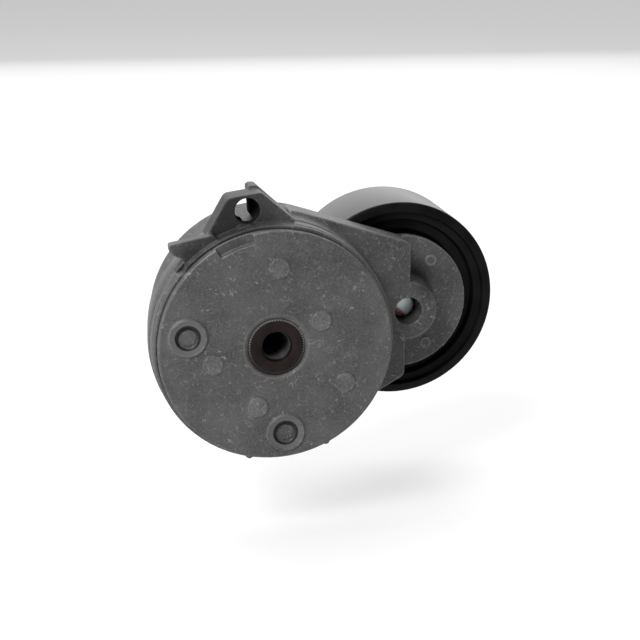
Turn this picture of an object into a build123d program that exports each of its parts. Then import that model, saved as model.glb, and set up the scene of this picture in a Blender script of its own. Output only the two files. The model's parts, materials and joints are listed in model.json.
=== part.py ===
from build123d import *
import os
from math import cos, radians, sin

# Belt tensioner idler. Millimetres. The pivot axis is the Y axis, the mounting face lies at Y = 0 and looks
# towards -Y, +Z is up and +X points from the pivot towards the pulley. Everything is built rearwards, along +Y.

# ---------------------------------------------------------------- driving dimensions
# mounting disc
disc_r = 44.6
disc_thickness = 6.0
disc_hub_r = 15.0
disc_hub_y = 9.5
spring_floor_y = 7.5
spring_floor_r = 37.8
locator_r = 7.4
locator_height = 0.8
locator_hole_r = 4.7
locator_hole_depth = 1.4
locator_centres = [(-33.4, 5.6), (3.1, -34.5)]
ejector_r = 3.9
ejector_height = 0.35
ejector_centres = [(1.3, 30.4), (17.1, 9.1), (26.3, -16.0), (-7.5, -23.5), (-24.2, -5.5)]
recess_inner_r = 40.6
recess_from, recess_to = 101.0, 120.0
recess_depth = 2.6

# base ring, lug and tab
ring_r = 46.2
ring_front_y, ring_rear_y = 3.4, 12.5
ring_flange_r = 38.0
ring_flange_rear_y = 9.0
ring_bore_r = 41.2
parting_y = 6.0
lug_front_y, lug_rear_y = 8.0, 19.0
lug_base_left = (-24.6, 41.4)
lug_top_left = (-16.3, 55.8)
lug_top_right = (-3.8, 57.5)
lug_base_right = (8.8, 46.5)
lug_hole = (-9.1, 50.8)
lug_hole_r = 4.7
post_front_y, post_rear_y = 17.0, 25.0
post_top_left = (-7.4, 58.4)
post_top_right = (-4.1, 58.4)
post_foot_angle = 98.0
overhang_r = 47.2
free_stop_angle = 79.3
tab_front_y, tab_rear_y = 4.6, 9.0
tab_tip = (-38.9, 40.2)
tab_root = (-22.6, 43.0)
tab_heel = (-33.6, 34.6)
notch_r = 3.3
notch_centre_r, notch_angle = 48.3, 138.7
nub_angles = (-103.0, -64.0)
nub_r, nub_rise = 1.6, 0.65

# pivot
shaft_press_r = 10.55
shaft_journal_r = 10.0
shaft_thread_r = 5.2
shaft_thread_depth = 30.0
journal_end_y = 36.3
rivet_stub_r = 7.5
retaining_plate_r = 15.0
retaining_plate_thickness = 3.0
bushing_r = 12.0
bushing_bore_r = 10.05
running_gap = 0.05

# arm hub
bushing_length = 11.0
arm_abutment_y = 28.0
hub_r = 46.6
hub_rear_r = 44.9
bulge_z, bulge_r = 5.1, 43.3
bulge_front_y, bulge_front_r = 24.5, 45.8
hub_front_y, hub_rear_y = 13.1, 37.2
hub_wall_r = 41.0
hub_floor_y = 32.8
tube_r = 16.0
tube_front_y = disc_hub_y + 1.1
tube_rear_y = 35.0
counterbore_r = 16.4
finger_inner_r, finger_outer_r = 41.8, 44.0
finger_front_y = 10.0
finger_start, finger_width = 200.0, 20.0
swing_range = 45.0
stop_margin = 0.5

# arm web, boss and end pad
pulley_x, pulley_z = 57.0, 4.2
web_front_y = 21.3
web_taper = 2.0
web_end_x = 57.5
web_low_end_x = 55.7
web_root_r = 3.0
bolt_boss_r = 11.5
bolt_boss_rear_r = 13.4
boss_root_r = 2.0
pad_r = 27.5
pad_front_y, pad_rear_y = 35.3, 39.0
bolt_hole_mouth_r = 5.45
bolt_hole_mouth_depth = 14.2
pad_mark_r = 2.35
pad_marks = [(69.8, 20.8), (68.2, -13.6)]
spigot_r = 11.5

# pulley, bearing and its fixings
pulley_r = 40.0
pulley_front_y = 39.2
pulley_width = 32.5
bearing_front_y = 48.5
bearing_width = 14.0
bearing_bore_r, bearing_r = 8.5, 23.5
inner_land_r, outer_land_r = 12.9, 19.1
ball_pitch_r, ball_r = 16.0, 4.33
ball_count = 7
ball_clearance = 0.03
bolt_r = 5.0
bolt_tip_y = 30.8
bolt_flange_r = 10.8
bolt_hex_across_flats = 16.0
bolt_head_height = 7.5
shield_thickness = 0.8
shield_bore_r = 5.3
front_shield_r, rear_shield_r = 22.0, 19.0
seal_thickness = 0.9
bearing_rear_y = bearing_front_y + bearing_width
bearing_mid_y = bearing_front_y + bearing_width / 2
shield_front_y = bearing_front_y - shield_thickness
bolt_flange_y = bearing_rear_y + shield_thickness
snap_ring_y = bearing_rear_y + 0.1
snap_groove_r = 24.3
shell_hub_rear_y = 65.0
pocket_inner_r, pocket_outer_r = 26.5, 36.0
pocket_floor_y = 52.0
rib_count = 12
rib_thickness = 1.6
pulley_rear_y = pulley_front_y + pulley_width

# torsion spring and damping sleeve
wire_r = 2.5
coil_r = 34.5
coil_pitch = 5.5
coil_turns = 3.4
seat_thickness = 1.5
seat_inner_r, seat_outer_r = 31.5, 37.6
abutment_inner_r, abutment_outer_r = 31.5, 37.4
base_abutment_height = 6.0
sleeve_inner_r, sleeve_outer_r = 39.0, 40.92
sleeve_rear_y = 31.5


# ---------------------------------------------------------------- shared geometry
def face_at(y):
    """Plane at depth y, drawn as seen from the front: local x is X and local y is Z."""
    return Plane.XZ.offset(-y)


def polar(r, angle, centre=(0, 0)):
    return (centre[0] + r * cos(radians(angle)), centre[1] + r * sin(radians(angle)))


def draw_sector(inner_r, outer_r, start, size):
    """Lines and arcs of a ring sector, for use inside a BuildLine block."""
    CenterArc((0, 0), outer_r, start, size)
    CenterArc((0, 0), inner_r, start, size)
    Line(polar(inner_r, start), polar(outer_r, start))
    Line(polar(inner_r, start + size), polar(outer_r, start + size))


def turned(*profile, centre=(0, 0)):
    """A solid of revolution about the axis through centre, from (radius, depth) points."""
    with BuildPart() as piece:
        with BuildSketch(Plane((centre[0], 0, centre[1]))):
            with BuildLine():
                Polyline(*profile, close=True)
            make_face()
        revolve(axis=Axis((centre[0], 0, centre[1]), (0, 1, 0)))
    return piece.part


def ring(inner_r, outer_r, front_y, rear_y, centre=(0, 0)):
    return turned((inner_r, front_y), (outer_r, front_y), (outer_r, rear_y), (inner_r, rear_y), centre=centre)


def write(name, piece):
    piece.label = name
    export_step(piece, f"parts/{name}.step")


os.makedirs("parts", exist_ok=True)
pulley_axis = (pulley_x, pulley_z)
spin_axis = Axis((pulley_x, 0, pulley_z), (0, 1, 0))

# the spring stands on its seat and ends against the hub floor
coil_start_y = spring_floor_y + seat_thickness + wire_r + running_gap
coil_start_angle = 90.0
coil_end_angle = coil_start_angle + 360 * coil_turns

# ---------------------------------------------------------------- base body
with BuildPart() as mount_disc:
    with BuildSketch(Plane.XY):
        with BuildLine():
            Polyline(
                (shaft_press_r + 1.6, 0),
                (disc_r - 0.5, 0),
                (disc_r, 0.5),
                (disc_r, disc_thickness),
                (spring_floor_r, disc_thickness),
                (spring_floor_r, spring_floor_y),
                (disc_hub_r, spring_floor_y),
                (disc_hub_r, disc_hub_y),
                (shaft_press_r, disc_hub_y),
                (shaft_press_r, 1.0),
                close=True,
            )
        make_face()
    revolve(axis=Axis.Y)
    # shallow recess open at the disc's edge
    with BuildSketch(face_at(0)):
        with BuildLine():
            draw_sector(recess_inner_r, disc_r + 1, recess_from, recess_to - recess_from)
        make_face()
    extrude(amount=-recess_depth, mode=Mode.SUBTRACT)
    # locating bosses, ejector marks
    with BuildSketch(face_at(-locator_height)):
        with Locations(*locator_centres):
            Circle(locator_r)
    extrude(amount=-locator_height)
    chamfer(mount_disc.faces().sort_by(Axis.Y)[:2].edges(), 0.4)
    with BuildSketch(face_at(-locator_height)):
        with Locations(*locator_centres):
            Circle(locator_hole_r)
    extrude(amount=-locator_hole_depth - locator_height, mode=Mode.SUBTRACT)
    with BuildSketch(face_at(-ejector_height)):
        with Locations(*ejector_centres):
            Circle(ejector_r)
    extrude(amount=-ejector_height)
    # abutment that the first coil's end pushes against
    with BuildSketch(face_at(spring_floor_y)):
        with BuildLine():
            draw_sector(abutment_inner_r, abutment_outer_r, coil_start_angle - 12.2, 12)
        make_face()
    extrude(amount=-base_abutment_height)
write("mount_disc", mount_disc.part)

with BuildPart() as base_ring:
    with BuildSketch(Plane.XY):
        with BuildLine():
            Polyline(
                (disc_r, ring_front_y),
                (ring_r - 0.7, ring_front_y),
                (ring_r - 0.2, ring_front_y + 0.6),
                (ring_r - 0.2, parting_y - 0.4),
                (ring_r - 0.7, parting_y),
                (ring_r, parting_y + 0.6),
                (ring_r, ring_rear_y),
                (ring_bore_r, ring_rear_y),
                (ring_bore_r, ring_flange_rear_y),
                (ring_flange_r, ring_flange_rear_y),
                (ring_flange_r, disc_thickness),
                (disc_r, disc_thickness),
                close=True,
            )
        make_face()
    revolve(axis=Axis.Y)
    # pointed tab
    with BuildSketch(face_at(tab_front_y)) as tab:
        with BuildLine():
            Polyline(
                polar(disc_r + 0.8, 116),
                tab_root,
                tab_tip,
                (tab_tip[0] + 0.1, tab_tip[1] - 2.6),
                (tab_tip[0] + 1.5, tab_tip[1] - 4.1),
                (tab_tip[0] + 3.3, tab_tip[1] - 5.0),
                tab_heel,
                polar(disc_r + 0.8, 146),
            )
            CenterArc((0, 0), disc_r + 0.8, 116, 30)
        make_face()
        fillet(tab.vertices().sort_by_distance(tab_tip)[0], 0.8)
    extrude(amount=-(tab_rear_y - tab_front_y))
    # eared lug behind the ring's front edge; over the arm hub it is hollowed to clear it
    with BuildSketch(face_at(lug_front_y)) as lug:
        with BuildLine():
            Polyline(
                polar(ring_r - 1.5, 119.5),
                lug_base_left,
                lug_top_left,
                lug_top_right,
                lug_base_right,
                polar(ring_r - 1.5, 79.5),
            )
            CenterArc((0, 0), ring_r - 1.5, 79.5, 40)
        make_face()
        fillet(lug.vertices().group_by(Axis.Y)[-1], 2.4)
        fillet(lug.vertices().sort_by_distance(lug_top_left)[0], 3.0)
    extrude(amount=-(lug_rear_y - lug_front_y))
    # stop post: the lug's right side carried further back
    with BuildSketch(face_at(post_front_y)) as post:
        with BuildLine():
            Polyline(
                post_top_left,
                post_top_right,
                lug_base_right,
                polar(ring_r - 1.5, free_stop_angle),
                polar(ring_r - 1.5, post_foot_angle),
                close=True,
            )
        make_face()
        fillet(post.vertices().group_by(Axis.Y)[-1], 1.4)
    extrude(amount=-(post_rear_y - post_front_y))
    with BuildSketch(face_at(ring_rear_y)):
        Circle(overhang_r)
    extrude(amount=-(post_rear_y - ring_rear_y), mode=Mode.SUBTRACT)
    with BuildSketch(face_at(lug_front_y)):
        with Locations(lug_hole):
            Circle(lug_hole_r)
    extrude(amount=-(lug_rear_y - lug_front_y), mode=Mode.SUBTRACT)
    # round notch beside the tab
    with BuildSketch(face_at(ring_front_y)):
        with Locations(polar(notch_centre_r, notch_angle)):
            Circle(notch_r)
    extrude(amount=-(ring_rear_y - ring_front_y), mode=Mode.SUBTRACT)
    # arc slot for the arm's travel-stop finger
    with BuildSketch(face_at(ring_rear_y)):
        with BuildLine():
            draw_sector(ring_bore_r - 0.5, finger_outer_r + 0.4, finger_start - swing_range - stop_margin,
                        finger_width + swing_range + 2 * stop_margin)
        make_face()
    extrude(amount=ring_rear_y - finger_front_y + 0.4, mode=Mode.SUBTRACT)
    # small pad below the lug's hole and nubs low on the rim
    with BuildSketch(face_at(parting_y + 0.8)):
        with BuildLine():
            draw_sector(ring_r - 0.6, ring_r + 0.6, 99.5, 6.5)
        make_face()
    extrude(amount=-2.6)
    with BuildSketch(face_at(ring_front_y + 0.6)):
        with Locations(*[polar(ring_r + nub_rise - nub_r, angle) for angle in nub_angles]):
            Circle(nub_r)
    extrude(amount=-2.0)
write("base_ring", base_ring.part)

with BuildPart() as pivot_shaft:
    with BuildSketch(Plane.XY):
        with BuildLine():
            rivet_y = journal_end_y + retaining_plate_thickness
            Polyline(
                (shaft_thread_r, 0),
                (shaft_press_r - 0.3, 0),
                (shaft_press_r, 0.3),
                (shaft_press_r, disc_hub_y),
                (shaft_journal_r, disc_hub_y),
                (shaft_journal_r, journal_end_y),
                (rivet_stub_r, journal_end_y),
                (rivet_stub_r, rivet_y),
                (rivet_stub_r + 1.4, rivet_y),
                (rivet_stub_r + 0.6, rivet_y + 1.3),
                (0, rivet_y + 1.3),
                (0, shaft_thread_depth + 3),
                (shaft_thread_r, shaft_thread_depth),
                close=True,
            )
        make_face()
    revolve(axis=Axis.Y)
write("pivot_shaft", pivot_shaft.part)

write("front_thrust_washer", ring(bushing_bore_r + 0.1, tube_r, disc_hub_y, tube_front_y - running_gap))
write("rear_thrust_washer", ring(bushing_bore_r, retaining_plate_r, tube_rear_y + running_gap, journal_end_y))
write("retaining_plate", ring(rivet_stub_r, retaining_plate_r, journal_end_y, rivet_y))

with BuildPart() as spring_seat:
    with BuildSketch(face_at(spring_floor_y)):
        with BuildLine():
            draw_sector(seat_inner_r, seat_outer_r, coil_start_angle + 0.5, 346)
        make_face()
    extrude(amount=-seat_thickness)
write("spring_seat", spring_seat.part)

with BuildPart() as torsion_spring:
    with BuildLine() as coil:
        Helix(
            coil_pitch,
            coil_pitch * coil_turns,
            coil_r,
            center=(0, coil_start_y, 0),
            direction=(0, 1, 0),
            lefthand=True,
        )
    with BuildSketch(coil.line ^ 0):
        Circle(wire_r)
    sweep(is_frenet=True)
write("torsion_spring", torsion_spring.part)

with BuildPart() as damping_sleeve:
    with BuildSketch(face_at(ring_flange_rear_y)):
        with BuildLine():
            draw_sector(sleeve_inner_r, sleeve_outer_r, coil_start_angle + 4, 352)
        make_face()
    extrude(amount=-(sleeve_rear_y - ring_flange_rear_y))
write("damping_sleeve", damping_sleeve.part)

# ---------------------------------------------------------------- arm body
stop_angle = free_stop_angle - stop_margin
web_top = [(13.45, 46.4), (55.8, 32.6), (web_end_x, 31.2)]
web_bottom = [(web_low_end_x, -22.4), (23.3, -40.4)]

with BuildPart() as root_flare:
    # the hub's wall runs out into the web's front face with a concave radius
    with BuildSketch(Plane.XY):
        with BuildLine():
            flare_start = (hub_r, web_front_y - web_root_r)
            flare_end = (hub_r + web_root_r, web_front_y)
            RadiusArc(flare_start, flare_end, web_root_r)
            Polyline(flare_end, (hub_wall_r + 1, web_front_y), (hub_wall_r + 1, flare_start[1]), flare_start)
        make_face()
    revolve(axis=Axis.Y)

with BuildPart() as web_root:
    with BuildSketch(face_at(web_front_y - web_root_r)):
        with BuildLine():
            Polyline(polar(hub_wall_r, stop_angle), polar(bulge_r + bulge_z, stop_angle), *web_top,
                     (web_end_x, pulley_z), (0, pulley_z), close=True)
        make_face()
    extrude(amount=-web_root_r)
    add(root_flare.part, mode=Mode.INTERSECT)

with BuildPart() as bolt_boss:
    # drafted boss with a rounded root on the end pad
    with BuildSketch(Plane((pulley_x, 0, pulley_z))):
        with BuildLine():
            root_start = (bolt_boss_rear_r, pad_front_y - boss_root_r)
            root_end = (bolt_boss_rear_r + boss_root_r, pad_front_y)
            Polyline((0, pad_front_y + 1), (0, web_front_y), (bolt_boss_r, web_front_y), root_start)
            RadiusArc(root_start, root_end, boss_root_r)
            Polyline(root_end, (root_end[0], pad_front_y + 1), (0, pad_front_y + 1))
        make_face()
    revolve(axis=spin_axis)

with BuildPart() as hub_bulge:
    # behind the base's stop post the hub's wall leans out to a rear outline set higher
    with BuildSketch(face_at(bulge_front_y)):
        Circle(bulge_front_r)
    with BuildSketch(face_at(hub_rear_y)):
        with Locations((0, bulge_z)):
            Circle(bulge_r)
    loft()
    fillet(hub_bulge.edges().sort_by(Axis.Y)[-1], 1.5)

with BuildPart() as tensioner_arm:
    # web between hub and bolt boss
    with BuildSketch(face_at(web_front_y)) as web:
        with BuildLine():
            Polyline(
                polar(hub_wall_r, stop_angle),
                polar(bulge_r + bulge_z, stop_angle),
                *web_top,
                (web_end_x, pulley_z),
                (web_low_end_x, pulley_z - bolt_boss_r / 2),
                *web_bottom,
                (0, -20),
                (0, 20),
                close=True,
            )
        make_face()
        fillet(web.vertices().sort_by_distance(web_bottom[0])[0], 2.5)
    extrude(amount=-(hub_rear_y - web_front_y), taper=web_taper)
    # the web's ends towards the pad stand upright
    with BuildSketch(face_at(web_front_y)) as web_end:
        with BuildLine():
            Polyline(
                (web_end_x - 8, pulley_z),
                (web_end_x - 8, 28.5),
                (web_end_x, 28.5),
                (web_end_x, pulley_z),
                (web_low_end_x, pulley_z),
                (web_low_end_x, -19.5),
                (web_low_end_x - 8, -19.5),
                close=True,
            )
        make_face()
    extrude(amount=-(pad_rear_y - web_front_y - 1))
    add(bolt_boss.part)
    add(web_root.part)
    add(hub_bulge.part)
    # round end pad
    with BuildSketch(face_at(pad_front_y)):
        with Locations(pulley_axis):
            Circle(pad_r)
    extrude(amount=-(pad_rear_y - pad_front_y))
    with BuildSketch(face_at(pad_front_y - ejector_height)):
        with Locations(*pad_marks):
            Circle(pad_mark_r)
    extrude(amount=-ejector_height)
    with BuildSketch(face_at(web_front_y - web_root_r)):
        Circle((hub_wall_r + hub_rear_r) / 2)
    extrude(amount=-(pad_rear_y - web_front_y + web_root_r), mode=Mode.SUBTRACT)
    # cup-shaped hub: outer wall, rear floor and centre tube
    with BuildSketch(Plane.XY):
        with BuildLine():
            Polyline(
                (hub_wall_r, hub_front_y),
                (hub_r - 0.4, hub_front_y),
                (hub_r, hub_front_y + 0.4),
                (hub_r, web_front_y - web_root_r),
                (hub_rear_r, hub_rear_y - 3.0),
                (hub_rear_r - 0.8, hub_rear_y - 1.0),
                (hub_rear_r - 2.6, hub_rear_y),
                (counterbore_r, hub_rear_y),
                (counterbore_r, tube_rear_y),
                (bushing_r, tube_rear_y),
                (bushing_r, tube_front_y),
                (tube_r, tube_front_y),
                (tube_r, hub_floor_y),
                (hub_wall_r, hub_floor_y),
                close=True,
            )
        make_face()
    revolve(axis=Axis.Y)
    # spigot that carries the bearing, and the bolt's hole
    with BuildSketch(face_at(pad_rear_y)):
        with Locations(pulley_axis):
            Circle(spigot_r)
    extrude(amount=-(shield_front_y - pad_rear_y))
    with BuildSketch(face_at(web_front_y)):
        with Locations(pulley_axis):
            Circle(bolt_hole_mouth_r)
    extrude(amount=-bolt_hole_mouth_depth, mode=Mode.SUBTRACT)
    with BuildSketch(face_at(web_front_y)):
        with Locations(pulley_axis):
            Circle(bolt_r)
    extrude(amount=-(shield_front_y - web_front_y), mode=Mode.SUBTRACT)
    # finger in the base ring's stop slot
    with BuildSketch(face_at(finger_front_y)):
        with BuildLine():
            draw_sector(finger_inner_r, finger_outer_r, finger_start, finger_width)
        make_face()
    extrude(amount=-(hub_front_y - finger_front_y + 1))
    # abutment that the last coil's end pushes against
    with BuildSketch(face_at(arm_abutment_y)):
        with BuildLine():
            draw_sector(abutment_inner_r, abutment_outer_r, coil_end_angle + 0.2, 12)
        make_face()
    extrude(amount=-(hub_floor_y - arm_abutment_y + 1))
write("tensioner_arm", tensioner_arm.part)

write("pivot_bushing_front", ring(bushing_bore_r, bushing_r, tube_front_y, tube_front_y + bushing_length))
write("pivot_bushing_rear", ring(bushing_bore_r, bushing_r, tube_rear_y - bushing_length, tube_rear_y))

write(
    "dust_shield_front",
    turned(
        (shield_bore_r, shield_front_y),
        (inner_land_r, shield_front_y),
        (inner_land_r + 1.2, shield_front_y - 0.4),
        (front_shield_r, shield_front_y - 0.4),
        (front_shield_r, shield_front_y + 0.3),
        (inner_land_r + 1.2, shield_front_y + 0.3),
        (inner_land_r, bearing_front_y),
        (shield_bore_r, bearing_front_y),
        centre=pulley_axis,
    ),
)
write(
    "dust_shield_rear",
    turned(
        (shield_bore_r, bearing_rear_y),
        (inner_land_r, bearing_rear_y),
        (inner_land_r + 1.2, bearing_rear_y + 0.5),
        (rear_shield_r, bearing_rear_y + 0.5),
        (rear_shield_r, bearing_rear_y + 1.2),
        (inner_land_r + 1.2, bearing_rear_y + 1.2),
        (inner_land_r, bearing_rear_y + shield_thickness),
        (shield_bore_r, bearing_rear_y + shield_thickness),
        centre=pulley_axis,
    ),
)
write("bearing_sleeve", ring(shield_bore_r, bearing_bore_r, bearing_front_y, bearing_rear_y, pulley_axis))

with BuildPart() as pulley_bolt:
    with BuildSketch(Plane((pulley_x, 0, pulley_z))):
        with BuildLine():
            Polyline(
                (0, bolt_tip_y),
                (bolt_r - 1.0, bolt_tip_y),
                (bolt_r, bolt_tip_y + 1.0),
                (bolt_r, bolt_flange_y),
                (bolt_flange_r, bolt_flange_y),
                (bolt_flange_r, bolt_flange_y + 0.8),
                (bolt_hex_across_flats / 2, bolt_flange_y + 2.2),
                (0, bolt_flange_y + 2.2),
                close=True,
            )
        make_face()
    revolve(axis=spin_axis)
    with BuildSketch(face_at(bolt_flange_y)):
        with Locations(pulley_axis):
            RegularPolygon(bolt_hex_across_flats / 2, 6, major_radius=False)
    extrude(amount=-bolt_head_height)
write("pulley_bolt", pulley_bolt.part)

# ---------------------------------------------------------------- bearing
def race_ring(inner_r, outer_r):
    """A bearing ring with its ball groove."""
    with BuildPart() as piece:
        with BuildSketch(Plane((pulley_x, 0, pulley_z))):
            with Locations(((inner_r + outer_r) / 2, bearing_mid_y)):
                Rectangle(outer_r - inner_r, bearing_width)
            with Locations((ball_pitch_r, bearing_mid_y)):
                Circle(ball_r + ball_clearance, mode=Mode.SUBTRACT)
        revolve(axis=spin_axis)
    return piece.part


write("bearing_inner_ring", race_ring(bearing_bore_r, inner_land_r))
write("bearing_outer_ring", race_ring(outer_land_r, bearing_r))

for name, seal_y in (("bearing_seal_front", bearing_front_y + 0.5),
                     ("bearing_seal_rear", bearing_rear_y - 0.5 - seal_thickness)):
    write(name, ring(inner_land_r + 0.08, outer_land_r, seal_y, seal_y + seal_thickness, pulley_axis))

with BuildPart() as bearing_balls:
    with Locations(face_at(bearing_mid_y)):
        with Locations(pulley_axis):
            with PolarLocations(ball_pitch_r, ball_count):
                Sphere(ball_r)
write("bearing_balls", bearing_balls.part)

with BuildPart() as bearing_cage:
    with BuildSketch(face_at(bearing_mid_y - 5.2)):
        with Locations(pulley_axis):
            Circle(ball_pitch_r + 1.1)
            Circle(ball_pitch_r - 1.1, mode=Mode.SUBTRACT)
    extrude(amount=-7.2)
    with Locations(face_at(bearing_mid_y)):
        with Locations(pulley_axis):
            with PolarLocations(ball_pitch_r, ball_count):
                Sphere(ball_r + 0.07, mode=Mode.SUBTRACT)
write("bearing_cage", bearing_cage.part)

# ---------------------------------------------------------------- pulley body
with BuildPart() as pulley_shell:
    with BuildSketch(Plane((pulley_x, 0, pulley_z))):
        with BuildLine():
            Polyline(
                (pulley_r, pulley_front_y + 0.5),
                (pulley_r - 0.4, pulley_front_y),
                (pulley_r - 3.8, pulley_front_y - 1.0),
                (pulley_r - 4.1, pulley_front_y + 1.4),
                (pulley_r - 7.2, pulley_front_y + 1.4),
                (pulley_r - 7.6, pulley_front_y + 4.5),
                (pulley_r - 11.7, pulley_front_y + 4.5),
                (pulley_r - 12.0, pulley_front_y + 8.0),
                (bearing_r - 0.6, pulley_front_y + 8.0),
                (bearing_r - 0.6, bearing_front_y),
                (bearing_r, bearing_front_y),
                (bearing_r, snap_ring_y),
                (snap_groove_r, snap_ring_y),
                (snap_groove_r, snap_ring_y + 1.1),
                (bearing_r, snap_ring_y + 1.1),
                (bearing_r, shell_hub_rear_y),
                (pocket_inner_r, shell_hub_rear_y),
                (pocket_inner_r + 0.5, pocket_floor_y),
                (pocket_outer_r - 0.2, pocket_floor_y),
                (pocket_outer_r, pulley_rear_y),
                (pulley_r - 0.5, pulley_rear_y),
                (pulley_r, pulley_rear_y - 0.5),
                close=True,
            )
        make_face()
    revolve(axis=spin_axis)
    # radial ribs in the rear pocket
    with BuildSketch(face_at(pocket_floor_y - 1)):
        with Locations(pulley_axis):
            with PolarLocations((pocket_inner_r + pocket_outer_r) / 2, rib_count):
                Rectangle(pocket_outer_r - pocket_inner_r + 1.0, rib_thickness)
    extrude(amount=-(shell_hub_rear_y - pocket_floor_y - 1))
write("pulley_shell", pulley_shell.part)

with BuildPart() as snap_ring:
    with BuildSketch(face_at(snap_ring_y + 0.05)):
        with Locations(pulley_axis):
            Circle(snap_groove_r - 0.05)
            Circle(bearing_r - 1.7, mode=Mode.SUBTRACT)
        with Locations((pulley_x, pulley_z - bearing_r)):
            Rectangle(9, 6, mode=Mode.SUBTRACT)
    extrude(amount=-1.0)
write("snap_ring", snap_ring.part)
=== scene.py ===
import json
import math

import bmesh
import bpy
from mathutils import Matrix, Vector


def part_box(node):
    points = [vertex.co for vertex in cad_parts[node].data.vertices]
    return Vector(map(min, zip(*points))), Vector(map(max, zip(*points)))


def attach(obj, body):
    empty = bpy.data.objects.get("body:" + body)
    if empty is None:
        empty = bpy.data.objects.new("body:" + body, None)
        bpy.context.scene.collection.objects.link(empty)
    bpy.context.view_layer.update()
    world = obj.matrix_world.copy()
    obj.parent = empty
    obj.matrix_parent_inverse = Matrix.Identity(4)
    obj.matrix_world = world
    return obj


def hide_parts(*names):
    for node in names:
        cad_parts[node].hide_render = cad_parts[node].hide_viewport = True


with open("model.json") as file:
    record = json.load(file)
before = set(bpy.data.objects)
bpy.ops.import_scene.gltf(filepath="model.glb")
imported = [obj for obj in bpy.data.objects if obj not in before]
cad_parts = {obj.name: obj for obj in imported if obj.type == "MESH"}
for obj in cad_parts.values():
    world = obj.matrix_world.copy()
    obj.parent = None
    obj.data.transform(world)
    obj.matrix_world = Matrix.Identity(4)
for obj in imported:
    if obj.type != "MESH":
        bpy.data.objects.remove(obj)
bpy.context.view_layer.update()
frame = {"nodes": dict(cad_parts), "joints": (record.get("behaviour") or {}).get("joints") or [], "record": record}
scene = bpy.context.scene
MM = 0.001


# ---------------------------------------------------------------- places taken from the frame
def node_disc(node):
    """Centre (x, z), outer radius, front and rear depth of a round node, in millimetres."""
    low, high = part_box(node)
    centre = ((low[0] + high[0]) / 2 / MM, (low[2] + high[2]) / 2 / MM)
    return centre, (high[0] - low[0]) / 2 / MM, low[1] / MM, high[1] / MM


def mount(name):
    return next(entry for entry in frame["record"]["mounts"] if entry["name"] == name)


def mount_centre(name):
    place = mount(name)["pos_m"]
    return place[0] / MM, place[2] / MM


def mount_r(name):
    return mount(name)["dims"]["r_mm"]


PULLEY_CENTRE, PULLEY_R, PULLEY_FRONT, PULLEY_REAR = node_disc("pulley_shell")
SHAFT_R, SHAFT_FRONT, SHAFT_REAR = node_disc("pivot_shaft")[1:]
ARM_SWING = next(joint for joint in frame["joints"] if joint["name"] == "arm_swing")["range_deg"][1]

# locating bosses of the mounting face; boss radius and height, and the hollows inside them
BOSSES = ["dowel_bore_a", "dowel_bore_b"]
BOSS_R, BOSS_HEIGHT = 7.4, -node_disc("mount_disc")[2]
WELLS = [(mount_centre(name), mount_r(name)) for name in BOSSES]

# holes and notches, as centre (x, z) and radius
LUG_HOLE = mount_centre("lug_hole"), mount_r("lug_hole")
NOTCH = (-36.3, 31.9), 3.2
NOTCH_FRONT, NOTCH_REAR, NOTCH_RIM_R = 8.6, 12.2, 46.1

# painted shade on the castings: patches darkened to stand for shade, as centre (x, z), radius and strength
RING_PAINTED_SHADE = [((-15, 47.5), 22, 0.8), ((-30.5, 34.5), 9, 0.7)]
DISC_PAINTED_SHADE = [((-14.9, 41.5), 8, 0.35)]
ARM_PAINTED_SHADE = [((PULLEY_CENTRE[0] + 8, PULLEY_CENTRE[1] + 11), 8, 0.55)]


# ---------------------------------------------------------------- mesh helpers
def finish_mesh(name, mesh, node, body, slot, crease=35, finish=None):
    """Puts a mesh in the scene, riding on a body; with a node's name it stands for that CAD node."""
    mesh.shade_smooth()
    mesh.set_sharp_from_angle(angle=math.radians(crease))
    piece = bpy.data.objects.new(name, mesh)
    scene.collection.objects.link(piece)
    if node:
        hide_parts(node)
    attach(piece, body)
    mesh.materials.clear()
    mesh.materials.append(finishes[finish or slot])
    return piece


def cast_copy(node, body, slot, voxel, smoothing, carve=None):
    """The CAD node as a dense skin whose edges and inner corners are rounded, as a casting's are.
    carve takes a skin point (x, y, z) in millimetres and gives its new depth y."""
    source = frame["nodes"][node]
    worker = bpy.data.objects.new("worker", source.data.copy())
    scene.collection.objects.link(worker)
    remesh = worker.modifiers.new("remesh", "REMESH")
    remesh.mode = "VOXEL"
    remesh.voxel_size = voxel * MM
    smooth = worker.modifiers.new("smooth", "SMOOTH")
    smooth.factor = 0.5
    smooth.iterations = smoothing
    skin = bpy.data.meshes.new_from_object(worker.evaluated_get(bpy.context.evaluated_depsgraph_get()))
    bpy.data.objects.remove(worker)
    if carve:
        for vertex in skin.vertices:
            vertex.co.y = carve(*(vertex.co / MM)) * MM
    return finish_mesh(node + "_skin", skin, node, body, slot, 180)


def rounded(profile, radius):
    """A closed outline with each corner off the axis replaced by a small curve."""
    steps = 3
    outline = []
    count = len(profile)
    for i, corner in enumerate(profile):
        if corner[0] == 0:
            outline.append(corner)
            continue
        corner = Vector(corner)
        before = Vector(profile[i - 1]) - corner
        after = Vector(profile[(i + 1) % count]) - corner
        reach = min(radius, 0.4 * before.length, 0.4 * after.length)
        start = corner + before.normalized() * reach
        end = corner + after.normalized() * reach
        for k in range(steps + 1):
            t = k / steps
            outline.append(((1 - t) ** 2 * start + 2 * t * (1 - t) * corner + t ** 2 * end)[:])
    return outline


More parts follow.
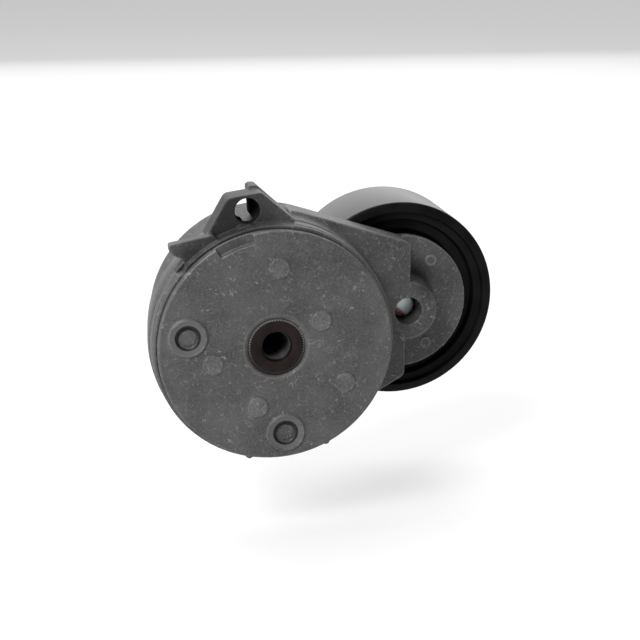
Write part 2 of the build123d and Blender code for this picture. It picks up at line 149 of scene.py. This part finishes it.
def lathe(name, outline, centre=(0, 0), segments=160, shape=None):
    """Turns a closed (radius, depth) outline about the axis through centre; shape may change the radius."""
    verts, faces = [], []
    count = len(outline)
    for s in range(segments):
        angle = 2 * math.pi * s / segments
        for r, y in outline:
            if shape:
                r = shape(r, y, angle)
            x, z = centre[0] + r * math.cos(angle), centre[1] + r * math.sin(angle)
            verts.append((x * MM, y * MM, z * MM))
    for s in range(segments):
        a, b = s * count, (s + 1) % segments * count
        for k in range(count):
            n = (k + 1) % count
            faces.append((a + k, a + n, b + n, b + k))
    mesh = bpy.data.meshes.new(name)
    mesh.from_pydata(verts, [], faces)
    return clean(mesh)


def clean(mesh):
    """Merges doubled points and makes the faces look outwards."""
    work = bmesh.new()
    work.from_mesh(mesh)
    bmesh.ops.remove_doubles(work, verts=work.verts, dist=1e-6)
    bmesh.ops.recalc_face_normals(work, faces=work.faces)
    work.to_mesh(mesh)
    work.free()
    return mesh


def run(start, end, count):
    """Evenly spaced points between two outline points, both ends included."""
    return [tuple(a + (b - a) * k / count for a, b in zip(start, end)) for k in range(count + 1)]


def thread(pitch, root_r, crest_r):
    """Radius change of a thread that climbs along the axis, for use as a lathe shape."""
    def shape(r, y, angle):
        if not min(root_r, crest_r) - 0.01 <= r <= max(root_r, crest_r) + 0.01:
            return r
        phase = (y / pitch + angle / (2 * math.pi)) % 1
        return root_r + (crest_r - root_r) * min(1, max(0, 2.4 * abs(phase - 0.5) - 0.1))
    return shape


# ---------------------------------------------------------------- finishes
class Finish:
    """A procedural material under construction, in object coordinates."""

    def __init__(self, name):
        self.material = bpy.data.materials.new(name)
        self.material.use_nodes = True
        self.tree = self.material.node_tree
        self.shader = self.tree.nodes["Principled BSDF"]
        self.place = self.tree.nodes.new("ShaderNodeTexCoord").outputs["Object"]
        # textures are shifted, because noise is weak on the planes through the origin
        shifted = self.add("Mapping", {"Vector": self.place, "Location": (0.137, 0.291, 0.173)})
        self.texture_place = shifted.outputs[0]

    def add(self, kind, inputs=None, **settings):
        node = self.tree.nodes.new("ShaderNode" + kind)
        for key, value in settings.items():
            setattr(node, key, value)
        for key, value in (inputs or {}).items():
            if isinstance(value, bpy.types.NodeSocket):
                self.tree.links.new(value, node.inputs[key])
            else:
                node.inputs[key].default_value = value
        return node

    def math(self, operation, a, b=0.0):
        return self.add("Math", {0: a, 1: b}, operation=operation).outputs[0]

    def noise(self, scale, detail=3.0, rough=0.55):
        inputs = {"Vector": self.texture_place, "Scale": scale, "Detail": detail, "Roughness": rough}
        return self.add("TexNoise", inputs).outputs["Fac"]

    def ramp(self, value, low, high, out_low=0.0, out_high=1.0):
        inputs = {"Value": value, "From Min": low, "From Max": high, "To Min": out_low, "To Max": out_high}
        return self.add("MapRange", inputs).outputs["Result"]

    def mix(self, factor, a, b):
        node = self.add("Mix", {"Factor": factor}, data_type="RGBA")
        for key, value in ((6, a), (7, b)):
            if isinstance(value, bpy.types.NodeSocket):
                self.tree.links.new(value, node.inputs[key])
            else:
                node.inputs[key].default_value = (*value, 1)
        return node.outputs[2]

    def clouded(self, cloud, dark, light):
        """A colour that drifts between two tones with a noise."""
        return self.mix(self.ramp(cloud, 0.35, 0.65), dark, light)

    def roughen(self, cloud, low, high):
        self.set(Roughness=self.ramp(cloud, 0.3, 0.7, low, high))

    def edges(self, low, high):
        """1 on the mesh's sharp outer edges, 0 on its faces."""
        return self.ramp(self.add("NewGeometry").outputs["Pointiness"], low, high)

    def set(self, **values):
        for key, value in values.items():
            socket = self.shader.inputs[key.replace("_", " ")]
            if isinstance(value, bpy.types.NodeSocket):
                self.tree.links.new(value, socket)
            else:
                socket.default_value = (*value, 1) if isinstance(value, tuple) else value

    def bump(self, height, distance, strength=1.0, normal=None):
        inputs = {"Height": height, "Distance": distance * MM, "Strength": strength}
        if normal:
            inputs["Normal"] = normal
        return self.add("Bump", inputs).outputs[0]


def scaled(tone, factor):
    return tuple(factor * c for c in tone)


def radius_about(f, centre=(0.0, 0.0)):
    """Distance from an axis that runs along Y through centre (millimetres), as a socket in metres."""
    hub = (centre[0] * MM, 0.0, centre[1] * MM)
    arm = f.add("VectorMath", {0: f.place, 1: hub}, operation="SUBTRACT").outputs[0]
    arm = f.add("VectorMath", {0: arm, 1: (1.0, 0.0, 1.0)}, operation="MULTIPLY").outputs[0]
    return f.add("VectorMath", {0: arm}, operation="LENGTH").outputs["Value"]


def hairs(f, scale, seed):
    """Short curved hairline scratches: broken level lines of a warped noise."""
    width = 0.02
    place = f.add("Mapping", {"Vector": f.texture_place, "Rotation": (seed, 2 * seed, 3 * seed)}).outputs[0]
    inputs = {"Vector": place, "Scale": scale, "Detail": 1.0, "Distortion": 1.6}
    level = f.add("TexNoise", inputs).outputs["Fac"]
    line = f.ramp(f.math("ABSOLUTE", f.math("SUBTRACT", level, 0.5)), 0.0, width, 1.0, 0.0)
    return f.math("MULTIPLY", line, f.ramp(f.noise(1.4 * scale, 2, 0.6), 0.55, 0.62))


def turned_spot(f, spot_r, colour, normal):
    """A machined spot about the pivot, with turning marks and a painted shadow darkening the disc below the shaft.
    """
    feed = 0.5 * MM
    r = radius_about(f)
    inside = f.ramp(r, (spot_r + 0.2) * MM, (spot_r - 0.2) * MM)
    groove = f.math("SINE", f.math("MULTIPLY", r, 2 * math.pi / feed))
    normal = f.bump(f.math("MULTIPLY", groove, inside), 0.05, 0.9, normal)
    ring = f.math("MULTIPLY", inside, f.ramp(groove, -1, 1, 0.02, 0.16))
    colour = f.mix(ring, colour, (0.36, 0.35, 0.34))
    # painted shadow: the disc just below the shaft is darkened
    low = f.ramp(f.add("SeparateXYZ", {0: f.place}).outputs[2], 3 * MM, -7 * MM)
    painted_shadow = f.math("MULTIPLY", f.ramp(r, (SHAFT_R + 1.6) * MM, (SHAFT_R + 0.6) * MM), low)
    return f.mix(f.math("MULTIPLY", painted_shadow, 0.85), colour, (0.012, 0.012, 0.012)), normal


def well_with_painted_shadow(f, centre, well_r, colour):
    """A lighter boss rim round a hollow whose upper corner is darkened as a painted shadow."""
    r = radius_about(f, centre)
    lowered = radius_about(f, (centre[0] + 0.3, centre[1] - 0.9))
    corner = f.math("MULTIPLY", f.ramp(lowered, (well_r - 1.3) * MM, (well_r - 0.9) * MM),
                    f.ramp(r, (well_r + 0.3) * MM, (well_r + 0.1) * MM))
    rim = f.math("MULTIPLY", f.ramp(r, well_r * MM, (well_r + 0.4) * MM),
                 f.ramp(r, (BOSS_R + 0.2) * MM, (BOSS_R - 0.2) * MM, 0, 0.6))
    colour = f.mix(rim, colour, (0.118, 0.119, 0.124))
    # painted shadow: the hollow's upper corner is darkened where the rim would shade it
    return f.mix(f.math("MULTIPLY", corner, 0.8), colour, (0.010, 0.010, 0.011))


def cast_finish(name, tone, speckle=0.6, spot_r=0.0, shaded_bore=None, wells=(), painted_shade_patches=(), lift=1.0):
    """Tumbled die-cast alloy: mottled tone, light specks, hairline scratches and brighter edges.
    spot_r is the radius of a turned spot about the pivot, with a painted shadow below the shaft; shaded_bore is
    the (centre, radius) of a hole painted dark inside as shade, without shine; wells holds (centre, radius) of
    hollows with a painted shadow in their upper corner, and painted_shade_patches (centre, radius, strength) of
    painted shade."""
    f = Finish(name)
    tone = scaled(tone, lift)
    roughness, shine = 0.48, 0.2
    mottle = f.noise(60, 5, 0.62)
    grain = f.noise(1100, 3, 0.65)
    speck = f.ramp(f.noise(1000, 2, 0.5), 0.68, 0.74)
    scratch = f.math("MAXIMUM", hairs(f, 210, 0.4), hairs(f, 330, 1.3))
    marks = f.math("MAXIMUM", f.math("MULTIPLY", speck, speckle), f.math("MULTIPLY", scratch, 0.6))
    colour = f.clouded(mottle, scaled(tone, 0.72), scaled(tone, 1.28))
    colour = f.mix(f.ramp(grain, 0.42, 0.62, 0, 0.4), colour, scaled(tone, 1.8))
    colour = f.mix(f.math("MULTIPLY", marks, 0.8), colour, (0.34, 0.33, 0.32))
    colour = f.mix(f.math("MULTIPLY", f.edges(0.515, 0.57), 0.35), colour, (0.26, 0.26, 0.26))
    height = f.math("ADD", f.math("MULTIPLY", grain, 0.8), f.math("MULTIPLY", mottle, 0.9))
    normal = f.bump(height, 0.06, 0.7)
    if spot_r:
        colour, normal = turned_spot(f, spot_r, colour, normal)
    for centre, well_r in wells:
        colour = well_with_painted_shadow(f, centre, well_r, colour)
    for centre, shade_r, strength in painted_shade_patches:
        # painted shade: each patch darkens the colour towards its centre
        patch = f.ramp(radius_about(f, centre), shade_r * MM, 0.35 * shade_r * MM, 0, strength)
        colour = f.mix(patch, colour, (0.008, 0.008, 0.009))
    if shaded_bore:
        # painted shade: inside the hole the colour is darkened and the shine taken away
        centre, bore_r = shaded_bore
        inside = f.ramp(radius_about(f, centre), (bore_r + 0.25) * MM, (bore_r + 0.1) * MM)
        colour = f.mix(inside, colour, (0.012, 0.011, 0.010))
        shine = f.ramp(inside, 0, 1, 0.2, 0.0)
    f.set(Base_Color=colour, Normal=normal, Specular_IOR_Level=shine, Metallic=shine)
    f.roughen(mottle, roughness - 0.05, roughness + 0.07)
    return f.material


def steel_finish(name, tone, roughness):
    """Bare or plated metal with a faint cloud, fine grain and worn edges."""
    f = Finish(name)
    cloud = f.noise(220, 4, 0.6)
    fine = f.noise(1800, 2, 0.5)
    colour = f.clouded(cloud, scaled(tone, 0.82), scaled(tone, 1.15))
    colour = f.mix(f.math("MULTIPLY", f.edges(0.52, 0.6), 0.4), colour, (0.6, 0.6, 0.6))
    f.set(Base_Color=colour, Metallic=1.0, Normal=f.bump(fine, 0.02, 0.4))
    f.roughen(cloud, roughness - 0.06, roughness + 0.08)
    return f.material


def shaft_finish(name, bore_r):
    """Brown-black phosphated steel; inside bore_r the thread has bare crests, and its roots are darkened as
    painted shade.
    """
    f = Finish(name)
    cloud = f.noise(220, 4, 0.6)
    fine = f.noise(1800, 2, 0.5)
    colour = f.clouded(cloud, (0.0120, 0.0083, 0.0080), (0.0175, 0.0122, 0.0118))
    depth = f.add("SeparateXYZ", {0: f.place}).outputs[1]
    r = radius_about(f)
    cut = f.ramp(r, (bore_r + 0.1) * MM, (bore_r - 0.05) * MM)
    cut = f.math("MULTIPLY", cut, f.ramp(depth, 0.5 * MM, 1.2 * MM))
    crest = f.ramp(r, (bore_r - 0.3) * MM, (bore_r - 0.7) * MM)
    # thread roots near black as painted shade; crests lighter as bare metal
    colour = f.mix(cut, colour, f.mix(crest, (0.002, 0.002, 0.002), (0.040, 0.041, 0.040)))
    f.set(Base_Color=colour, Metallic=0.0, Specular_IOR_Level=0.05)
    f.set(Normal=f.bump(fine, 0.02, 0.4))
    f.roughen(cloud, 0.36, 0.48)
    return f.material


def bolt_finish(name, threadlock_depth):
    """Bright zinc with a pink threadlock residue round the thread's end."""
    f = Finish(name)
    cloud = f.noise(260, 4, 0.6)
    colour = f.clouded(cloud, (0.70, 0.80, 0.81), (0.84, 0.93, 0.93))
    spot = f.add("SeparateXYZ", {0: f.place})
    front = f.ramp(spot.outputs[1], threadlock_depth * MM, (threadlock_depth + 1.5) * MM, 1, 0)
    # the residue lies below and left of the bolt's axis, where x + z is less than on the axis
    axis_sum = sum(PULLEY_CENTRE)
    diagonal = f.math("ADD", spot.outputs[0], spot.outputs[2])
    low = f.ramp(diagonal, (axis_sum - 2.0) * MM, (axis_sum - 3.7) * MM)
    patch = f.math("MULTIPLY", f.math("MULTIPLY", low, front), f.ramp(cloud, 0.40, 0.48))
    colour = f.mix(patch, colour, (0.50, 0.16, 0.14))
    metal = f.ramp(patch, 0, 1, 0.35, 0.0)
    f.set(Base_Color=colour, Metallic=metal, Roughness=0.38, Normal=f.bump(cloud, 0.03, 0.5))
    return f.material


def polymer_finish(name, tone, roughness):
    """Moulded plastic or rubber with a faint cloud and a fine grain."""
    f = Finish(name)
    cloud = f.noise(120, 3, 0.5)
    fine = f.noise(1400, 2, 0.5)
    f.set(Base_Color=f.clouded(cloud, tone, scaled(tone, 1.3)), Normal=f.bump(fine, 0.02, 0.5))
    f.roughen(cloud, roughness - 0.03, roughness + 0.04)
    return f.material


def pulley_finish(name, polished_r):
    """Black polymer, matt on the flanks and polished by the belt on the running surface."""
    f = Finish(name)
    cloud = f.noise(110, 3, 0.5)
    fine = f.noise(1400, 2, 0.5)
    polish = f.ramp(radius_about(f, PULLEY_CENTRE), (polished_r - 0.3) * MM, (polished_r - 0.05) * MM)
    f.set(Base_Color=f.clouded(cloud, (0.004, 0.004, 0.004), (0.007, 0.007, 0.007)))
    f.set(Roughness=f.ramp(polish, 0, 1, 0.42, 0.30), Normal=f.bump(fine, 0.015, 0.4))
    f.set(Specular_IOR_Level=f.ramp(polish, 0, 1, 0.06, 0.36))
    return f.material


DISC_TONE = (0.0675, 0.0655, 0.0655)
finishes = {
    "cast_disc": cast_finish("cast_disc", DISC_TONE, spot_r=12.9, wells=WELLS, painted_shade_patches=DISC_PAINTED_SHADE),
    "cast_mark": cast_finish("cast_mark", DISC_TONE, speckle=0.2, lift=1.35),
    # darkened copy of the disc finish, used as painted shade in the notch
    "cast_painted_shade": cast_finish("cast_painted_shade", DISC_TONE, speckle=0.2, lift=0.3),
    "cast_ring": cast_finish("cast_ring", (0.056, 0.056, 0.057), shaded_bore=LUG_HOLE, painted_shade_patches=RING_PAINTED_SHADE),
    "cast_arm": cast_finish("cast_arm", (0.056, 0.055, 0.055), painted_shade_patches=ARM_PAINTED_SHADE),
    "shaft_steel": shaft_finish("shaft_steel", mount_r("pivot_thread") + 0.85),
    "plated_steel": steel_finish("plated_steel", (0.56, 0.56, 0.54), 0.32),
    "zinc_steel": bolt_finish("zinc_steel", 33.0),
    "spring_steel": steel_finish("spring_steel", (0.16, 0.16, 0.17), 0.35),
    "bearing_steel": steel_finish("bearing_steel", (0.60, 0.60, 0.61), 0.20),
    "bushing_bronze": steel_finish("bushing_bronze", (0.45, 0.32, 0.16), 0.45),
    "polymer_pale": polymer_finish("polymer_pale", (0.55, 0.53, 0.47), 0.45),
    "polymer_dark": polymer_finish("polymer_dark", (0.03, 0.03, 0.03), 0.45),
    "cage_polymer": polymer_finish("cage_polymer", (0.55, 0.50, 0.38), 0.45),
    "pulley_black": pulley_finish("pulley_black", PULLEY_R),
    "seal_rubber": polymer_finish("seal_rubber", (0.015, 0.015, 0.016), 0.5),
}


# ---------------------------------------------------------------- castings
def funnel(x, y, z):
    """Depth of the disc's skin with the top of each locating boss sunk into a funnel round its hole."""
    for name in BOSSES:
        centre = mount_centre(name)
        r = math.hypot(x - centre[0], z - centre[1])
        hole_r = mount_r(name)
        if hole_r - 0.3 < r < BOSS_R + 0.6 and y < 0:
            fall = min(1, max(0, (BOSS_R - 0.7 - r) / (BOSS_R - 0.7 - hole_r)))
            return max(y, -BOSS_HEIGHT + 0.08 + 0.5 * fall)
    return y


def build_castings():
    cast_copy("mount_disc", "base", "cast_disc", 0.34, 2, funnel)
    cast_copy("base_ring", "base", "cast_ring", 0.34, 3)
    cast_copy("tensioner_arm", "arm", "cast_arm", 0.58, 3)


def mark_disc(r, face_y, height, centre):
    """A low round mark with a rolled rim, standing on a face that looks forwards."""
    rim, dish = 0.35, 0.08
    root_y, top_y = face_y + 0.4, face_y - height
    outline = rounded([(0, root_y), (0, top_y + dish), (r - 3 * rim, top_y + dish), (r - 1.8 * rim, top_y),
                       (r - 0.5 * rim, top_y), (r, face_y - 0.55 * height), (r, root_y)], 0.2)
    return lathe("mark", outline, centre, 72)


def boss_rim(centre):
    """The locating boss's raised rim with its crisp outer edge."""
    inner_r, bevel = BOSS_R - 1.2, 0.3
    outline = rounded([(inner_r, bevel), (inner_r, bevel - BOSS_HEIGHT), (BOSS_R - 0.7, -BOSS_HEIGHT),
                       (BOSS_R - 0.25, -BOSS_HEIGHT), (BOSS_R, bevel - BOSS_HEIGHT), (BOSS_R, bevel)], 0.2)
    return lathe("boss", outline, centre, 96)


def build_marks():
    """Locating bosses and ejector-pin marks of the mounting face, and the marks on the arm's end pad."""
    disc_marks = [(1.3, 30.4), (17.1, 9.1), (26.3, -16.0), (-7.5, -23.5), (-24.2, -5.5)]
    pad_marks = [(12.8, 16.6), (11.2, -17.8)]
    pad_y = PULLEY_FRONT - 2.9
    for name in BOSSES:
        floor_y = mount(name)["dims"]["length_mm"] - BOSS_HEIGHT
        rim = boss_rim(mount_centre(name))
        finish_mesh(name + "_rim", rim, None, "base", "cast_disc", finish="cast_mark")
        floor = mark_disc(3.4, floor_y, 0.22, mount_centre(name))
        finish_mesh(name + "_floor", floor, None, "base", "cast_disc")
    for i, centre in enumerate(disc_marks):
        mesh = mark_disc(3.9, 0.0, 0.48, centre)
        finish_mesh(f"ejector_mark_{i}", mesh, None, "base", "cast_disc", finish="cast_mark")
    for i, (x, z) in enumerate(pad_marks):
        mesh = mark_disc(2.4, pad_y, 0.42, (PULLEY_CENTRE[0] + x, PULLEY_CENTRE[1] + z))
        finish_mesh(f"pad_mark_{i}", mesh, None, "arm", "cast_arm", finish="cast_mark")


def build_notch():
    """A near-black plug in the round notch in the ring's rim, standing for the shade there, kept inside the rim.
    """
    centre, r = NOTCH
    front, rear = NOTCH_FRONT, NOTCH_REAR
    profile = rounded([(0, rear), (0, front + 0.3), (0.7 * r, front + 0.2), (r, front), (r, rear)], 0.3)
    # painted shade: this dark piece fills the notch where there is only shade
    mesh = lathe("notch_shade_plug", profile, centre, 64)
    for vertex in mesh.vertices:
        scale = min(1, NOTCH_RIM_R * MM / math.hypot(vertex.co.x, vertex.co.z))
        vertex.co.x *= scale
        vertex.co.z *= scale
    finish_mesh("notch_shade_plug", mesh, None, "base", "cast_ring", finish="cast_painted_shade")


# ---------------------------------------------------------------- pivot shaft
def build_shaft():
    bore_r = mount_r("pivot_thread")
    depth = mount("pivot_thread")["dims"]["length_mm"]
    pitch = 1.75
    root_r, mouth_r = bore_r + 0.8, bore_r + 0.75
    wall_r = root_r - 0.4
    knurl_teeth, knurl_depth = 64, 0.5
    journal_r = SHAFT_R - 0.55
    head_y, stub_y = SHAFT_FRONT + 9.5, 36.3
    stub_r, rivet_r = 7.5, 8.9
    wall = run((wall_r, 1.6), (wall_r, depth - 1), 110)
    outer = [(wall_r, depth), (0, depth + 2.5), (0, SHAFT_REAR), (stub_r, SHAFT_REAR),
             (rivet_r - 0.2, SHAFT_REAR - 0.6), (rivet_r, SHAFT_REAR - 1.3), (stub_r, SHAFT_REAR - 1.4),
             (stub_r, stub_y), (journal_r, stub_y), (journal_r, head_y), (SHAFT_R, head_y), (SHAFT_R, 0.2),
             (SHAFT_R - 0.12, 0.02), (SHAFT_R - 0.5, 0.0), (SHAFT_R - 1.2, 0.0), (mouth_r + 0.15, 0.0),
             (mouth_r, 0.15), (mouth_r, 1.3)]
    climb = thread(pitch, bore_r, root_r)

    def shape(r, y, angle):
        if r > SHAFT_R - 1.0 and y < 2.0:
            return r - knurl_depth * (0.5 - 0.5 * math.cos(knurl_teeth * angle))
        if abs(r - wall_r) < 0.01 and 1.7 < y < depth - 0.5:
            return climb(root_r, y, angle)
        return r

    mesh = lathe("pivot_shaft_turned", wall + outer, segments=6 * knurl_teeth, shape=shape)
    finish_mesh("pivot_shaft_turned", mesh, "pivot_shaft", "base", "shaft_steel", 50)
    # disc metal pressed up between the knurl's teeth
    valley_r = SHAFT_R - knurl_depth
    burr = lathe("burr", [(valley_r, 1.0), (valley_r, 0.15), (SHAFT_R, 0.12), (SHAFT_R, 1.0)])
    finish_mesh("knurl_burr", burr, None, "base", "cast_disc")


# ---------------------------------------------------------------- pulley
def build_pulley():
    r, front, rear = PULLEY_R, PULLEY_FRONT + 1.0, PULLEY_REAR
    bearing_r, bearing_front = node_disc("bearing_outer_ring")[1:3]
    groove_y = node_disc("snap_ring")[2] - 0.05
    groove_r = bearing_r + 0.8
    hub_rear, pocket_y = rear - 6.7, front + 12.8
    pocket_in, pocket_out = 26.5, 36.0
    first_step, second_step, web_front = front + 1.4, front + 4.5, front + 8.0
    lip_r, groove_rear = bearing_r - 0.6, groove_y + 1.1
    outline = rounded([
        (r, front + 0.6), (r - 0.5, front), (r - 3.8, front - 1.0), (r - 4.2, first_step),
        (r - 7.2, first_step), (r - 7.7, second_step), (r - 11.7, second_step), (r - 12.1, web_front),
        (lip_r, web_front), (lip_r, bearing_front), (bearing_r, bearing_front), (bearing_r, groove_y),
        (groove_r, groove_y), (groove_r, groove_rear), (bearing_r, groove_rear), (bearing_r, hub_rear),
        (pocket_in, hub_rear), (pocket_in + 0.5, pocket_y), (pocket_out - 0.2, pocket_y), (pocket_out, rear),
        (r - 0.6, rear), (r, rear - 0.6)], 0.45)
    mesh = lathe("pulley_shell_moulded", outline, PULLEY_CENTRE, 288)
    mesh = join_ribs(mesh, pocket_in - 0.2, pocket_out + 0.2, pocket_y - 0.5, hub_rear)
    finish_mesh("pulley_shell_moulded", mesh, "pulley_shell", "pulley", "pulley_black", 40)


def join_ribs(mesh, inner, outer, floor_y, top_y):
    """Adds drafted radial ribs with bevelled backs to the pulley's rear pocket."""
    count, root, tip = 12, 1.0, 0.7
    hub = Vector((PULLEY_CENTRE[0], 0, PULLEY_CENTRE[1]))
    work = bmesh.new()
    work.from_mesh(mesh)
    profile = [(-root, floor_y), (-tip, top_y - 0.5), (-0.6 * tip, top_y), (0.6 * tip, top_y),
               (tip, top_y - 0.5), (root, floor_y)]
    for k in range(count):
        angle = 2 * math.pi * k / count
        along = Vector((math.cos(angle), 0, math.sin(angle)))
        across = Vector((-math.sin(angle), 0, math.cos(angle)))
        ends = []
        for reach in (inner, outer):
            ends.append([work.verts.new((hub + along * reach + across * w + Vector((0, y, 0))) * MM)
                         for w, y in profile])
        for i in range(len(profile)):
            j = (i + 1) % len(profile)
            work.faces.new((ends[0][i], ends[0][j], ends[1][j], ends[1][i]))
        work.faces.new(ends[0][::-1])
        work.faces.new(ends[1])
    bmesh.ops.recalc_face_normals(work, faces=work.faces)
    work.to_mesh(mesh)
    work.free()
    return mesh


# ---------------------------------------------------------------- bolt
def build_bolt():
    tip, head_rear = node_disc("pulley_bolt")[2:]
    shank_r, root_r, pitch = 5.0, 4.3, 1.5
    wall_r, thread_end = shank_r - 0.35, tip + 16
    flange_y = node_disc("dust_shield_rear")[2] + 0.8
    flange_r, flat_r = 10.8, 8.0
    wall = run((wall_r, tip + 1.0), (wall_r, thread_end), 64)
    shank = [(shank_r, thread_end + 0.5), (shank_r, flange_y)]
    flange = [(flange_r - 0.3, flange_y), (flange_r, flange_y + 0.3), (flange_r, flange_y + 0.7),
              (flange_r - 0.4, flange_y + 1.0)]
    head = [(flat_r + 0.6, flange_y + 1.9), (flat_r, flange_y + 2.2), (flat_r, head_rear - 0.6),
            (flat_r - 0.9, head_rear), (0, head_rear)]
    outline = [(0, tip), (3.5, tip), (4.0, tip + 0.1)] + wall + shank + flange + head
    climb = thread(pitch, root_r, shank_r)

    def shape(r, y, angle):
        if abs(r - wall_r) < 0.01:
            return climb(shank_r, y, angle)
        if y > flange_y + 2.1 and r > 0:
            sector = (angle + math.pi / 6) % (math.pi / 3) - math.pi / 6
            hexagon = flat_r / math.cos(sector)
            chamfered = flat_r * 1.10 - max(0, y - head_rear + 0.6)
            return min(hexagon, chamfered) if r > flat_r - 0.95 else r
        return r

    mesh = lathe("pulley_bolt_threaded", outline, PULLEY_CENTRE, 240, shape)
    finish_mesh("pulley_bolt_threaded", mesh, "pulley_bolt", "arm", "zinc_steel", 35)


def paint_nodes():
    """Gives every CAD node, hidden ones included, the finish of its slot in the record."""
    slots = {part["node"]: part["material_slot"] for part in frame["record"]["subparts"]}
    for name, node in frame["nodes"].items():
        node.data.materials.clear()
        node.data.materials.append(finishes[slots[name]])


# ---------------------------------------------------------------- camera
def place_camera():
    """The photograph's angle; shifts are in metres, across and up the view."""
    azimuth, elevation = math.radians(-12.27), math.radians(16.87)
    distance, shift_right, shift_up = 0.568, 0.01617, 0.01011
    back = Vector((math.sin(azimuth) * math.cos(elevation), -math.cos(azimuth) * math.cos(elevation),
                   math.sin(elevation)))
    right = Vector((math.cos(azimuth), math.sin(azimuth), 0))
    up = back.cross(right)
    camera = bpy.data.cameras.new("camera")
    camera.sensor_width = 36.0
    camera.lens = 85.26
    camera.clip_start = 0.05
    rig = bpy.data.objects.new("camera", camera)
    rig.matrix_world = Matrix((right, up, back)).transposed().to_4x4()
    rig.location = distance * back + shift_right * right + shift_up * up
    scene.collection.objects.link(rig)
    scene.camera = rig


# ---------------------------------------------------------------- studio
def area_light(name, location, size, energy):
    data = bpy.data.lights.new(name, "AREA")
    data.shape = "RECTANGLE"
    data.size, data.size_y = size
    data.energy = energy
    lamp = bpy.data.objects.new(name, data)
    lamp.location = location
    lamp.rotation_euler = (-Vector(location)).to_track_quat("-Z", "Y").to_euler()
    scene.collection.objects.link(lamp)


def build_light():
    scene.view_settings.view_transform = "Standard"
    world = bpy.data.worlds.new("world")
    world.use_nodes = True
    background = world.node_tree.nodes["Background"]
    background.inputs["Color"].default_value = (1, 1, 1, 1)
    background.inputs["Strength"].default_value = 0.12
    scene.world = world
    area_light("key", (-0.55, -0.6, 0.8), (0.45, 0.45), 16)
    area_light("top", (-0.1, 0.45, 1.05), (1.2, 1.0), 14)
    area_light("left", (-1.0, 0.2, 0.45), (1.1, 1.2), 5)
    area_light("right", (1.0, 0.6, 0.5), (1.2, 1.2), 4)
    area_light("rear", (0.1, 1.3, 0.5), (1.6, 1.0), 8)


def build_floor():
    """A pale floor that clears the pulley at the low end of the arm's swing."""
    gap, reach = 1.0, 6.0
    low_angle = math.atan2(PULLEY_CENTRE[1], PULLEY_CENTRE[0]) - math.radians(ARM_SWING)
    height = (math.hypot(*PULLEY_CENTRE) * math.sin(low_angle) - PULLEY_R - gap) * MM
    corners = [(-reach, -reach), (reach, -reach), (reach, reach), (-reach, reach)]
    floor_mesh = bpy.data.meshes.new("floor")
    floor_mesh.from_pydata([(x, y, height) for x, y in corners], [], [(0, 1, 2, 3)])
    floor = bpy.data.objects.new("floor", floor_mesh)
    scene.collection.objects.link(floor)
    paint = bpy.data.materials.new("floor")
    paint.use_nodes = True
    shader = paint.node_tree.nodes["Principled BSDF"]
    shader.inputs["Base Color"].default_value = (0.35, 0.35, 0.35, 1)
    shader.inputs["Emission Color"].default_value = (1, 1, 1, 1)
    shader.inputs["Emission Strength"].default_value = 0.5
    shader.inputs["Roughness"].default_value = 0.9
    floor_mesh.materials.append(paint)


build_castings()
build_marks()
build_notch()
build_shaft()
build_pulley()
build_bolt()
paint_nodes()
place_camera()
build_light()
build_floor()
